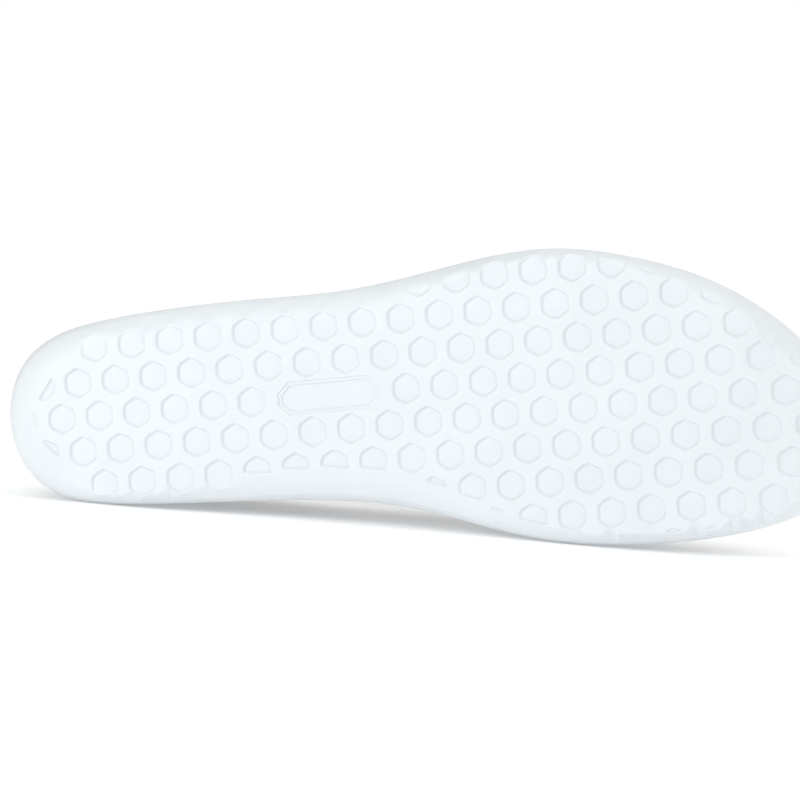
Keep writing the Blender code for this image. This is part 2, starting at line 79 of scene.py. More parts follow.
# Tread pattern
PITCH = 0.012
ROW_ANGLE = -3.78
LATTICE_START = (0.0317, 0.0016)
POCKET_WIDTH = 0.0089
POCKET_CORNER = 0.0028
CUT_CORNER = 0.0006
POCKET_DEPTH = 0.0009
SMALLEST_POCKET = 0.12
SMALLEST_CORNER = 1.0 / 3.0
CUT_PASSES = 4
CUT_TOLERANCE = 0.00003
FLOOR_BLEND = 0.00003
PLAQUE_CELLS = ((5, 0), (6, 0), (7, 0))
PLAQUE_LENGTH = 0.0318
PLAQUE_WIDTH = 0.0101
PLAQUE_CHAMFER = 0.0034
PLAQUE_CORNER = 0.0009
PLAQUE_STEP_DEPTH = 0.00045
HEEL_MOUNT_CELL = (-1, 0)
BALL_MOUNT_CELL = (15, -2)

# Where the long profile turns, as shares of the length
ARCH_START = 0.13
ARCH_END = 0.76
SPRING_START = 0.82
SEAT_END = 0.20
BALL_BED_START = 0.74
THROAT = 0.56
TOE_ROUND_START = 0.80
TOE_ROUND_POWER = 2.4
LEAN_FADE = 0.10
HEEL_CURVE_END = 0.22

# Camera of the photo: angles in degrees, distance, aim, and focal length in millimetres
AZIMUTH = 16.23
ELEVATION = 4.20
ROLL = 3.21
DISTANCE = 1.4
AIM = (-0.0054, -0.04512, 0.03894)
FOCAL_LENGTH = 213.26
SENSOR_WIDTH = 36.0
NEAREST_SEEN = 0.05
FURTHEST_SEEN = 100.0

# Brightness of the surround beside the heel and above, as shares of the rest, and the
# parts of the X and Z directions over which it changes
HEEL_SIDE_LIGHT = 0.02
HEEL_SIDE_FADE = (-0.38, -0.62)
TOP_LIGHT = 1.15
TOP_FADE = (0.20, 0.90)

# Key light, from the left in front, and the floor
KEY_PLACE = (-0.85, -1.05, 0.45)
KEY_AIM = (0.05, 0.0, 0.03)
KEY_SIDE = 0.5
KEY_POWER = 6.6
FLOOR_SIZE = 30.0
FLOOR_GLOW = 0.18

# Mesh fineness
CURVE_STEPS = 60
REAR_STATIONS = 76
FRONT_STATIONS = 70
ROLL_STEPS = 14
UPPER_STRIPS = 40
CORNER_STEPS = 24
LOOP_SPAN = 0.0016
LAND_CLEARANCE = 0.0005
LAND_SHARES = (0.0, 0.18, 0.36, 0.54, 0.70)
MERGE_DISTANCE = 0.00002
SMOOTH_ANGLE = 50.0
QUARTER_TURN = np.radians([0.0, 22.5, 45.0, 67.5, 90.0])
POINTS_AT_ONCE = 2000
NO_LENGTH = 1e-9
NO_AREA = 1e-8

# Outline of the sole and the width of its rounded edge. The station is a share of the
# length, everything else a share of the ball width.
SoleRow = namedtuple("SoleRow", "station lateral medial lateral_roll medial_roll")
HEEL_TIP = SoleRow(0.0, -0.020, 0.020, 0.160, 0.160)
TOE_TIP = SoleRow(1.0, -0.140, 0.140, 0.070, 0.070)
SOLE_ROWS = (
    SoleRow(0.019, 0.175, 0.196, 0.165, 0.150),
    SoleRow(0.057, 0.264, 0.287, 0.138, 0.104),
    SoleRow(0.108, 0.310, 0.322, 0.098, 0.058),
    SoleRow(0.204, 0.351, 0.327, 0.085, 0.040),
    SoleRow(0.300, 0.375, 0.322, 0.080, 0.090),
    SoleRow(0.395, 0.394, 0.325, 0.090, 0.115),
    SoleRow(0.494, 0.446, 0.363, 0.090, 0.125),
    SoleRow(0.585, 0.502, 0.436, 0.050, 0.085),
    SoleRow(0.662, 0.518, 0.479, 0.035, 0.050),
    SoleRow(0.745, 0.482, 0.488, 0.035, 0.040),
    SoleRow(0.840, 0.388, 0.465, 0.055, 0.036),
    SoleRow(0.928, 0.202, 0.393, 0.070, 0.042),
    SoleRow(0.977, 0.020, 0.285, 0.070, 0.060),
)

# Share of the rounded edge that the tread pattern may run out over. On the lateral side
# the roll cuts the pockets off by itself.
RunOut = namedtuple("RunOut", "station lateral medial")
RUN_OUT_ROWS = (
    RunOut(0.000, 0.46, 0.46),
    RunOut(0.004, 0.08, 0.24),
    RunOut(0.020, 0.20, 0.02),
    RunOut(0.050, 0.25, 0.00),
    RunOut(0.100, 0.60, 0.45),
    RunOut(0.160, 0.66, 0.20),
    RunOut(0.225, 0.66, 0.50),
    RunOut(0.275, 0.66, 0.36),
    RunOut(0.310, 0.66, 0.06),
    RunOut(0.440, 0.66, 0.05),
    RunOut(0.520, 0.66, 0.20),
    RunOut(0.600, 0.66, 0.22),
    RunOut(0.660, 0.66, 0.02),
    RunOut(0.770, 0.66, 0.05),
    RunOut(0.810, 0.66, 0.30),
    RunOut(1.00, 0.66, 0.50),
)
TREAD_EDGE = 0.80
EDGE_CREASE = 0.10
SIDE_WALL_SHARES = (0.2, 0.4, 0.6, 0.8)
SIDE_WALL_BOW = 1.5

# Rings of a pocket and of the plaque, from the land inwards. The inset is in metres, and
# the depth is a share of the recess's own depth.
RingRow = namedtuple("RingRow", "inset depth")
POCKET_RINGS = (
    RingRow(-0.00024, 0.00),
    RingRow(-0.00002, 0.05),
    RingRow(0.00015, 0.22),
    RingRow(0.00052, 0.78),
    RingRow(0.00072, 0.95),
    RingRow(0.00096, 1.00),
)
PLAQUE_RINGS = (
    RingRow(-0.00010, 0.00),
    RingRow(0.00000, 0.07),
    RingRow(0.00010, 0.43),
    RingRow(0.00026, 0.50),
    RingRow(0.00092, 0.50),
    RingRow(0.00106, 0.57),
    RingRow(0.00116, 0.93),
    RingRow(0.00132, 1.00),
)
INNER_RING = 0.55

# Cross-sections of the upper, as in the part's source
UpperSection = namedtuple("UpperSection", "station ridge fullness lean lateral_swell medial_swell")
UPPER_SECTIONS = (
    UpperSection(0.00, 1.36, 4.0, 0.000, 0.018, 0.018),
    UpperSection(0.15, 1.34, 3.6, 0.000, 0.024, 0.026),
    UpperSection(0.30, 1.28, 3.1, 0.006, 0.030, 0.050),
    UpperSection(0.44, 1.14, 2.5, 0.020, 0.026, 0.062),
    UpperSection(0.56, 1.00, 2.1, 0.034, 0.020, 0.040),
    UpperSection(0.66, 0.83, 2.1, 0.040, 0.018, 0.022),
    UpperSection(0.76, 0.67, 2.2, 0.042, 0.018, 0.018),
    UpperSection(0.87, 0.55, 2.4, 0.036, 0.014, 0.014),
    UpperSection(1.00, 0.50, 2.5, 0.000, 0.000, 0.000),
)
CollarRow = namedtuple("CollarRow", "station height")
COLLAR_ROWS = (
    CollarRow(0.00, 1.000),
    CollarRow(0.06, 0.975),
    CollarRow(0.14, 0.885),
    CollarRow(0.24, 0.800),
    CollarRow(0.34, 0.790),
    CollarRow(0.44, 0.860),
    CollarRow(0.50, 0.960),
)

# Soft creases of the vamp over the ball. The station and the slant are shares of the
# length, and depth and width are in metres. They fade in over a part of the height.
Crease = namedtuple("Crease", "station depth width slant")
CREASES = (
    Crease(0.655, 0.00060, 0.0036, 0.10),
    Crease(0.700, 0.00080, 0.0042, 0.14),
    Crease(0.742, 0.00045, 0.0036, 0.18),
)
CREASE_FADE = (0.25, 0.9)

# Topline binding and seams
BINDING_WIDTH = 0.0055
BINDING_PROUD = 0.0005
BINDING_SIDES = 20
BINDING_SPACING = 0.0016
BINDING_FLATNESS = 0.6
BINDING_FOLD = 0.7
BINDING_ROWS = 3
STITCH_LENGTH = 0.0021
STITCH_PITCH = 0.0029
STITCH_THICKNESS = 0.00055
STITCH_DROP = 0.0022
STITCH_LIFT = 0.9
STITCH_SIDES = 6
BACK_STRIP_WIDTH = 0.011
BACK_STRIP_PROUD = 0.0007
BACK_STRIP_EDGE = 0.0012
BACK_STRIP_SUNK = 0.0004
BACK_STRIP_START = 8
BACK_STRIP_REACH = REAR_STATIONS // 3
BACK_STRIP_COLUMNS = 21
BACK_STRIP_END_ROWS = 2.0

# Size of a stitch's rings along its half length
StitchRing = namedtuple("StitchRing", "place size")
STITCH_RINGS = (
    StitchRing(-1.0, 0.25),
    StitchRing(-0.7, 0.85),
    StitchRing(0.0, 1.00),
    StitchRing(0.7, 0.85),
    StitchRing(1.0, 0.25),
)

# Looks of the materials: a base colour, the two tones of its mottle, the roughness and the
# fineness of the mottle
Look = namedtuple("Look", "name base low high roughness mottle")
SOLE_LOOK = Look(
    "white_moulded_sole",
    (0.713, 0.748, 0.771), (0.706, 0.741, 0.764), (0.720, 0.755, 0.778), 0.45, 60.0,
)
LEATHER_LOOK = Look(
    "white_leather",
    (0.750, 0.757, 0.765), (0.730, 0.738, 0.748), (0.770, 0.776, 0.783), 0.42, 38.0,
)
LINING_LOOK = Look(
    "pale_lining",
    (0.82, 0.82, 0.81), (0.74, 0.74, 0.73), (0.82, 0.82, 0.81), 0.85, 90.0,
)
INSOLE_LOOK = Look(
    "pale_insole",
    (0.80, 0.80, 0.79), (0.70, 0.70, 0.69), (0.80, 0.80, 0.79), 0.85, 90.0,
)
FLOOR_LOOK = Look(
    "pale_floor",
    (0.960, 0.960, 0.960), (0.955, 0.955, 0.955), (0.965, 0.965, 0.965), 0.90, 6.0,
)

# A closed outline at the stations: plan points, outward directions, width of the rounded
# edge, side (1 medial, -1 lateral) and station
Ring = namedtuple("Ring", "x y out_x out_y roll side station")


def column(rows, name):
    return np.array([getattr(row, name) for row in rows])


def smooth_step(start, end, value):
    share = np.clip((value - start) / (end - start), 0.0, 1.0)
    return share * share * (3.0 - 2.0 * share)


def smooth_table(places, values, wanted):
    """Monotone cubic curve through a table, which never overshoots its rows."""
    gaps = np.diff(places)
    slopes = np.diff(values) / gaps
    inner = np.where(slopes[:-1] * slopes[1:] > 0.0, slopes[:-1] + slopes[1:], 0.0) / 2.0
    limit = 3.0 * np.minimum(np.abs(slopes[:-1]), np.abs(slopes[1:]))
    inner = np.clip(inner, -limit, limit)
    tangents = np.concatenate([slopes[:1], inner, slopes[-1:]])
    index = np.clip(np.searchsorted(places, wanted) - 1, 0, len(gaps) - 1)
    gap = gaps[index]
    t = np.clip((wanted - places[index]) / gap, 0.0, 1.0)
    return (
        (1 + 2 * t) * (1 - t) ** 2 * values[index]
        + t * (1 - t) ** 2 * gap * tangents[index]
        + t * t * (3 - 2 * t) * values[index + 1]
        - t * t * (1 - t) * gap * tangents[index + 1]
    )


def closed_spline(points, per_span):
    """Points of a smooth closed curve through the given ones, spaced by their distance."""
    count = len(points)
    after = np.roll(points, -1, axis=0)
    gap = np.linalg.norm((after - points)[:, :2], axis=1)[:, None]
    slope = (after - points) / gap
    matrix = np.zeros((count, count))
    for i in range(count):
        matrix[i, i - 1] = gap[i - 1, 0]
        matrix[i, i] = 2.0 * (gap[i - 1, 0] + gap[i, 0])
        matrix[i, (i + 1) % count] = gap[i, 0]
    bend = np.linalg.solve(matrix, 6.0 * (slope - np.roll(slope, 1, axis=0)))
    bend_after = np.roll(bend, -1, axis=0)
    curve = []
    for i in range(count):
        for t in np.arange(per_span) / per_span:
            near, far = (1.0 - t) * gap[i], t * gap[i]
            curve.append(
                (bend[i] * near**3 + bend_after[i] * far**3) / (6.0 * gap[i])
                + (points[i] / gap[i] - bend[i] * gap[i] / 6.0) * near
                + (after[i] / gap[i] - bend_after[i] * gap[i] / 6.0) * far
            )
    return np.array(curve)


def outline_curve():
    """The sole's outline as a closed curve of x, y and the width of the rounded edge."""
    medial = [(row.station, row.medial, row.medial_roll) for row in (HEEL_TIP, *SOLE_ROWS)]
    lateral = [(row.station, -row.lateral, row.lateral_roll) for row in (*SOLE_ROWS, TOE_TIP)]
    rows = np.array(medial + lateral[::-1])
    return closed_spline(rows * (LENGTH, BALL_WIDTH, BALL_WIDTH), CURVE_STEPS)


def stations():
    """Shares of the length, close together at the heel, at the throat and at the toe."""
    rear = (1.0 - np.cos(np.pi * np.arange(REAR_STATIONS) / REAR_STATIONS)) / 2.0
    front = (1.0 - np.cos(np.pi * np.arange(FRONT_STATIONS + 1) / FRONT_STATIONS)) / 2.0
    return np.concatenate([THROAT * rear, THROAT + (1.0 - THROAT) * front])


def outline_ring():
    """The outline at the stations: heel tip, medial side, toe tip, then lateral side."""
    curve = outline_curve()
    tangent = np.roll(curve, -1, axis=0) - np.roll(curve, 1, axis=0)
    tangent /= np.linalg.norm(tangent[:, :2], axis=1)[:, None]
    heel, toe = int(np.argmin(curve[:, 0])), int(np.argmax(curve[:, 0]))
    curve, tangent = np.roll(curve, -heel, axis=0), np.roll(tangent, -heel, axis=0)
    toe = (toe - heel) % len(curve)
    wrapped = np.vstack([curve, curve[:1]])
    wrapped_tangent = np.vstack([tangent, tangent[:1]])
    spots = curve[0, 0] + stations() * (curve[toe, 0] - curve[0, 0])

    def along(first, last, step, x):
        part = slice(first, last, step)
        at = wrapped[part, 0]
        fields = [wrapped[part, 1], -wrapped_tangent[part, 1], wrapped_tangent[part, 0]]
        return [np.interp(x, at, field) for field in (*fields, wrapped[part, 2])]

    medial = along(0, toe + 1, 1, spots)
    lateral = along(len(curve), toe - 1, -1, spots[1:-1])
    joined = [np.concatenate([one, two[::-1]]) for one, two in zip(medial, lateral)]
    x = np.concatenate([spots, spots[-2:0:-1]])
    size = np.hypot(joined[1], joined[2])
    side = np.concatenate([np.ones(len(spots)), -np.ones(len(spots) - 2)])
    station = np.concatenate([stations(), stations()[-2:0:-1]])
    return Ring(x, joined[0], joined[1] / size, joined[2] / size, joined[3], side, station)


def inset_plan(ring, inset):
    return ring.x - ring.out_x * inset, ring.y - ring.out_y * inset


def stack_ring(ring, inset, height):
    x, y = inset_plan(ring, inset)
    return np.stack([x, y, height(x)], axis=1)


def tread_height(x):
    """Height of the walking surface: flat heel, low arch, flat ball and toe spring."""
    share = x / LENGTH
    arch = np.clip((share - ARCH_START) / (ARCH_END - ARCH_START), 0.0, 1.0)
    spring = np.clip((share - SPRING_START) / (1.0 - SPRING_START), 0.0, None)
    return ARCH_HEIGHT * np.sin(np.pi * arch) ** 2 + TOE_SPRING * spring**2


def bed_height(x):
    share = x / LENGTH
    down = smooth_step(SEAT_END, BALL_BED_START, share)
    up = np.clip((share - BALL_BED_START) / (1.0 - BALL_BED_START), 0.0, 1.0) ** 2
    drop = BALL_BED_HEIGHT - SEAT_HEIGHT
    return SEAT_HEIGHT + drop * down + (TOE_BED_HEIGHT - BALL_BED_HEIGHT) * up


def rim_height(x):
    return bed_height(x) + CUP_DEPTH


def cell_centre(i, j):
    """Plan position of a cell of the hexagon lattice. Rows run towards the toe."""
    along, across = PITCH * (i + j / 2.0), -PITCH * math.sqrt(0.75) * j
    turn = math.radians(ROW_ANGLE)
    x = LATTICE_START[0] + along * math.cos(turn) - across * math.sin(turn)
    y = LATTICE_START[1] + along * math.sin(turn) + across * math.cos(turn)
    return np.array([x, y])


def turned(points, centre):
    turn = math.radians(ROW_ANGLE)
    spin = np.array([[math.cos(turn), -math.sin(turn)], [math.sin(turn), math.cos(turn)]])
    return np.asarray(points) @ spin.T + centre


def hexagon(centre, width):
    radius = width / math.sqrt(3.0)
    angles = np.radians(30.0 + 60.0 * np.arange(6))
    return turned(radius * np.stack([np.cos(angles), np.sin(angles)], axis=1), centre)


def plaque_outline(centre):
    """A long octagon: a rectangle with its corners cut off."""
    half_length, half_width = PLAQUE_LENGTH / 2.0, PLAQUE_WIDTH / 2.0
    quarter = [
        (half_length, half_width - PLAQUE_CHAMFER),
        (half_length - PLAQUE_CHAMFER, half_width),
    ]
    points = []
    for flip_x, flip_y in ((1, 1), (-1, 1), (-1, -1), (1, -1)):
        corner = [(x * flip_x, y * flip_y) for x, y in quarter]
        points += corner if flip_x * flip_y > 0 else corner[::-1]
    return turned(points, centre)


def polygon_area(points):
    after = np.roll(points, -1, axis=0)
    return abs(np.sum(points[:, 0] * after[:, 1] - after[:, 0] * points[:, 1])) / 2.0


def clip_to_line(points, spot, outward):
    """The part of a convex polygon that lies on the inner side of a line."""
    if not len(points):
        return points
    beyond = (points - spot) @ outward
    kept = []
    for i in range(len(points)):
        j = (i + 1) % len(points)
        if beyond[i] <= 0.0:
            kept.append(points[i])
        if (beyond[i] <= 0.0) != (beyond[j] <= 0.0):
            share = beyond[i] / (beyond[i] - beyond[j])
            kept.append(points[i] + (points[j] - points[i]) * share)
    return np.array(kept)


def inset_polygon(points, inset):
    """A convex polygon with every side moved inwards, or an empty array."""
    result = points
    for i in range(len(points)):
        side = points[(i + 1) % len(points)] - points[i]
        length = np.hypot(*side)
        if length > NO_LENGTH:
            outward = np.array([side[1], -side[0]]) / length
            result = clip_to_line(result, points[i] - outward * inset, outward)
    return result


def rounded_loop(polygon, inset, corner):
    """Loop round an inset convex polygon with round corners, or None where none is left."""
    core = inset_polygon(polygon, inset + corner)
    if len(core) < 3 or polygon_area(core) < NO_AREA:
        return None
    angles = 2.0 * math.pi * np.arange(CORNER_STEPS) / CORNER_STEPS + math.radians(ROW_ANGLE)
    rays = np.stack([np.cos(angles), np.sin(angles)], axis=1)
    furthest = np.argmax(core @ rays.T, axis=0)
    return core[furthest] + rays * corner


def subdivide(loop, pieces):
    """A closed loop with each side split into its own number of pieces."""
    after = np.roll(loop, -1, axis=0)
    start = np.repeat(loop, pieces, axis=0)
    end = np.repeat(after, pieces, axis=0)
    share = np.concatenate([np.arange(count) / count for count in pieces])[:, None]
    return start + (end - start) * share


def limit_line(ring, share_lateral, share_medial):
    """Points and outward directions of a line that runs along the rounded edge."""
    share = np.where(ring.side > 0.0, share_medial, share_lateral)
    x, y = inset_plan(ring, ring.roll * (1.0 - share))
    return np.stack([x, y], axis=1), np.stack([ring.out_x, ring.out_y], axis=1)


def pocket_outlines(ring):
    """Convex outline and corner radius of each pocket, cut off where the pattern ends."""
    rows = column(RUN_OUT_ROWS, "station")
    lateral = np.interp(ring.station, rows, column(RUN_OUT_ROWS, "lateral"))
    medial = np.interp(ring.station, rows, column(RUN_OUT_ROWS, "medial"))
    spots, outward = limit_line(ring, lateral, medial)
    template = rounded_loop(hexagon(np.zeros(2), POCKET_WIDTH), 0.0, POCKET_CORNER)
    whole = polygon_area(template)
    across = math.ceil(BALL_WIDTH / PITCH)
    reach = math.ceil(LENGTH / PITCH) + across
    outlines = []
    for j in range(-across, across + 1):
        for i in range(-across, reach):
            if (i, j) in PLAQUE_CELLS:
                continue
            centre = cell_centre(i, j)
            points = template + centre
            cut = False
            for _ in range(CUT_PASSES):
                if not len(points):
                    break
                tests = np.vstack([points, centre])
                near = np.argmin(np.linalg.norm(spots[None] - tests[:, None], axis=2), axis=1)
                beyond = np.einsum("ij,ij->i", tests - spots[near], outward[near])
                worst = int(np.argmax(beyond))
                if beyond[worst] < CUT_TOLERANCE:
                    break
                points = clip_to_line(points, spots[near[worst]], outward[near[worst]])
                cut = True
            if not cut:
                outlines.append((hexagon(centre, POCKET_WIDTH), POCKET_CORNER))
            elif len(points) > 2 and polygon_area(points) > SMALLEST_POCKET * whole:
                outlines.append((points, CUT_CORNER))
    return outlines


def roll_rise(share):
    """Rise of the rounded edge for a share of its width, with a soft crease at its start."""
    share = np.clip(share, 0.0, 1.0)
    round_edge = 1.0 - np.sqrt(np.maximum(1.0 - share * share, 0.0))
    crease = EDGE_CREASE * share * (1.0 - share)
    return ROLL_HEIGHT * (round_edge + crease)


def base_height(points, ring):
    """Height of the bottom without its pattern at plan points inside the outline."""
    spots = np.stack([ring.x, ring.y], axis=1)
    after = np.roll(spots, -1, axis=0)
    edge = after - spots
    length = np.einsum("ij,ij->i", edge, edge)
    roll_after = np.roll(ring.roll, -1)
    heights = np.empty(len(points))
    for start in range(0, len(points), POINTS_AT_ONCE):
        some = points[start : start + POINTS_AT_ONCE]
        reach = some[:, None] - spots[None]
        t = np.clip(np.einsum("ijk,jk->ij", reach, edge) / length, 0.0, 1.0)
        away = np.linalg.norm(reach - edge[None] * t[..., None], axis=2)
        near = np.argmin(away, axis=1)
        index = np.arange(len(some))
        roll = ring.roll[near] * (1.0 - t[index, near]) + roll_after[near] * t[index, near]
        share = 1.0 - away[index, near] / roll
        heights[start : start + POINTS_AT_ONCE] = roll_rise(share)
    return heights + tread_height(points[:, 0])


def soft_max(one, two, width):
    """The larger of two heights, blended over a small width."""
    gap = one - two
    return (one + two + np.sqrt(gap * gap + width * width)) / 2.0


class Surface:
    """Points and faces of a mesh that is built up piece by piece."""

    def __init__(self):
        self.points = []
        self.faces = []

    def add_points(self, points):
        start = len(self.points)
        self.points.extend(map(tuple, points))
        return list(range(start, start + len(points)))

    def add_strip(self, low, high):
        for i in range(len(low)):
            j = (i + 1) % len(low)
            self.faces.append((low[i], low[j], high[j], high[i]))

    def make(self, name, material):
        data = bpy.data.meshes.new(name)
        data.from_pydata([Vector(point) for point in self.points], [], self.faces)
        data.validate()
        data.update()
        return finish(name, data, material)


def finish(name, data, material):
    """Object of a mesh drawn standing, moved to the lying shoe and joined to its body."""
    data.transform(STAND_TO_FRAME)
    data.shade_smooth()
    data.set_sharp_from_angle(angle=math.radians(SMOOTH_ANGLE))
    data.materials.append(material)
    item = bpy.data.objects.new(name, data)
    bpy.context.scene.collection.objects.link(item)
    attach(item, "root")
    return item


def even_normals(item):
    """Let large faces set the shading, so that flat land stays flat beside small fillets."""
    weigh = item.modifiers.new("even_normals", "WEIGHTED_NORMAL")
    weigh.mode = "FACE_AREA"
    weigh.keep_sharp = True


def stand_to_frame():
    """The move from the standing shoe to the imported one, from the mounts on its tread."""
    mounts = {mount["name"]: mount for mount in frame["record"]["mounts"]}
    cells = (HEEL_MOUNT_CELL, BALL_MOUNT_CELL)
    drawn = []
    for i, j in cells:
        spot = (cell_centre(i, j) + cell_centre(i + 1, j) + cell_centre(i, j + 1)) / 3.0
        drawn.append(Vector((spot[0], spot[1], tread_height(spot[0]))))
    packed = [Vector(mounts[name]["pos_m"]) for name in ("heel_tread", "ball_tread")]
    up = -Vector(mounts["heel_tread"]["axis"]).normalized()

    def basis(start, end, normal):
        forward = end - start
        forward = (forward - forward.dot(normal) * normal).normalized()
        return Matrix((forward, normal.cross(forward), normal)).transposed()

    turn = basis(*packed, up) @ basis(*drawn, Vector((0.0, 0.0, 1.0))).transposed()
    shift = packed[0] - turn @ drawn[0]
    return Matrix.Translation(shift) @ turn.to_4x4()


STAND_TO_FRAME = stand_to_frame()


# Materials


def new_material(name, colour, roughness):
    material = bpy.data.materials.new(name)
    material.use_nodes = True
    shader = material.node_tree.nodes["Principled BSDF"]
    shader.inputs["Base Color"].default_value = (*colour, 1.0)
    shader.inputs["Roughness"].default_value = roughness
    return material, material.node_tree, shader


def add_node(tree, kind, **settings):
    node = tree.nodes.new(kind)
    for name, value in settings.items():
        if name in node.inputs:
            node.inputs[name].default_value = value
        else:
            setattr(node, name, value)
    return node


def object_noise(tree, scale, detail=4.0):
    place = add_node(tree, "ShaderNodeTexCoord")
    noise = add_node(tree, "ShaderNodeTexNoise", Scale=scale, Detail=detail)
    tree.links.new(place.outputs["Object"], noise.inputs["Vector"])
    return noise


def ramp_between(tree, value, low, high):
    """A colour ramp between two colours, driven by a value."""
    ramp = add_node(tree, "ShaderNodeValToRGB")
    ramp.color_ramp.elements[0].position = 0.35
    ramp.color_ramp.elements[1].position = 0.65
    ramp.color_ramp.elements[0].color = (*low, 1.0)
    ramp.color_ramp.elements[1].color = (*high, 1.0)
    tree.links.new(value, ramp.inputs["Fac"])
    return ramp


def add_bump(tree, shader, heights, strength, distance):
    """Chain bumps of several height sockets into the shader's normal."""
    previous = None
    for height, share in heights:
        bump = add_node(tree, "ShaderNodeBump", Strength=strength * share, Distance=distance)
        tree.links.new(height, bump.inputs["Height"])
        if previous is not None:
            tree.links.new(previous, bump.inputs["Normal"])
        previous = bump.outputs["Normal"]
    tree.links.new(previous, shader.inputs["Normal"])


def vary_roughness(tree, shader, value, low, high):
    spread = add_node(tree, "ShaderNodeMapRange")
    spread.inputs["To Min"].default_value = low
    spread.inputs["To Max"].default_value = high
    tree.links.new(value, spread.inputs["Value"])
    tree.links.new(spread.outputs["Result"], shader.inputs["Roughness"])


def mottled_material(look):
    """A material whose colour drifts faintly between two tones, with the mottle's socket."""
    material, tree, shader = new_material(look.name, look.base, look.roughness)
    mottle = object_noise(tree, look.mottle).outputs["Fac"]
    tint = ramp_between(tree, mottle, look.low, look.high)
    tree.links.new(tint.outputs["Color"], shader.inputs["Base Color"])
    return material, tree, shader, mottle


def sole_material():
    """White moulded rubber: satin, faintly mottled, with a fine moulded grain."""
    material, tree, shader, mottle = mottled_material(SOLE_LOOK)
    vary_roughness(tree, shader, mottle, low=0.40, high=0.52)
    grain = object_noise(tree, scale=2600.0, detail=2.0)
    wave = object_noise(tree, scale=240.0, detail=2.0)
    heights = ((grain.outputs["Fac"], 0.5), (wave.outputs["Fac"], 1.0))
    add_bump(tree, shader, heights, strength=0.12, distance=0.00025)
    shader.inputs["Specular IOR Level"].default_value = 0.35
    shader.inputs["Subsurface Weight"].default_value = 0.25
    shader.inputs["Subsurface Scale"].default_value = 0.001
    shader.inputs["Subsurface Radius"].default_value = (1.0, 1.0, 1.0)
    return material


def leather_material():
    """White corrected leather: fine pebble grain with soft gloss."""
    material, tree, shader, mottle = mottled_material(LEATHER_LOOK)
    vary_roughness(tree, shader, mottle, low=0.36, high=0.50)
    place = add_node(tree, "ShaderNodeTexCoord")
    pebble = add_node(tree, "ShaderNodeTexVoronoi", Scale=1150.0)
    tree.links.new(place.outputs["Object"], pebble.inputs["Vector"])
    pore = object_noise(tree, scale=2900.0, detail=3.0)
    heights = ((pebble.outputs["Distance"], 1.0), (pore.outputs["Fac"], 0.5))
    add_bump(tree, shader, heights, strength=0.22, distance=0.00018)
    shader.inputs["Coat Weight"].default_value = 0.12
    shader.inputs["Coat Roughness"].default_value = 0.35
    return material


def woven_material(look, scale, strength):
    """A fine textile: two crossed waves for the threads, with a soft sheen."""
    material, tree, shader, _ = mottled_material(look)
    place = add_node(tree, "ShaderNodeTexCoord")
    threads = []
    for direction in ("X", "Z"):
        wave = add_node(tree, "ShaderNodeTexWave", Scale=scale, Distortion=0.6)
        wave.bands_direction = direction
        tree.links.new(place.outputs["Object"], wave.inputs["Vector"])
        threads.append(wave.outputs["Fac"])
    heights = [(thread, 1.0) for thread in threads]
    add_bump(tree, shader, heights, strength, distance=0.0002)
    shader.inputs["Sheen Weight"].default_value = 0.25
    shader.inputs["Sheen Roughness"].default_value = 0.5
    return material


def thread_material():
    """White thread with the twist of its plies, and shade painted into the grooves between them.
    """
    base, low, high = (0.66, 0.665, 0.67), (0.60, 0.605, 0.61), (0.70, 0.705, 0.71)
    material, tree, shader = new_material("white_thread", base, roughness=0.6)
    place = add_node(tree, "ShaderNodeTexCoord")
    twist = add_node(tree, "ShaderNodeTexWave", Scale=900.0, Distortion=0.4)
    twist.bands_direction = "DIAGONAL"
    tree.links.new(place.outputs["Object"], twist.inputs["Vector"])
    add_bump(tree, shader, [(twist.outputs["Fac"], 1.0)], strength=0.3, distance=0.0001)
    # Painted shade and highlight: the colour follows the twist wave, darker in the grooves between
    # the plies and lighter on their crests.
    tint = ramp_between(tree, twist.outputs["Fac"], low, high)
    tree.links.new(tint.outputs["Color"], shader.inputs["Base Color"])
    return material


# Sole


def add_recess(surface, ring, polygon, rows, depth, corner):
    """Rings of one recess. Returns the indices of its outermost ring, or None."""
    loops = []
    for row in rows:
        rounding = max(corner - row.inset, corner * SMALLEST_CORNER)
        loop = rounded_loop(polygon, row.inset, rounding)
        if loop is None:
            break
        loops.append((loop, row.depth))
    if len(loops) < 2:
        return None
    core, deepest = loops[-1]
    middle = core.mean(axis=0)
    loops.append((middle + (core - middle) * INNER_RING, deepest))
    step = np.linalg.norm(np.roll(loops[0][0], -1, axis=0) - loops[0][0], axis=1)
    pieces = np.maximum(np.ceil(step / LOOP_SPAN).astype(int), 1)
    count = int(pieces.sum())
    plan = np.vstack([subdivide(loop, pieces) for loop, _ in loops])
    sunk = np.repeat([share for _, share in loops], count) * depth
    base = base_height(plan, ring)
    floor = tread_height(plan[:, 0]) + sunk
    height = np.where(sunk > 0.0, soft_max(base, floor, FLOOR_BLEND), base)
    indices = surface.add_points(np.column_stack([plan, height]))
    rings = [indices[k : k + count] for k in range(0, len(indices), count)]
    for outer, inner in zip(rings, rings[1:]):
        surface.add_strip(inner, outer)
    surface.faces.append(tuple(reversed(rings[-1])))
    return rings[0]


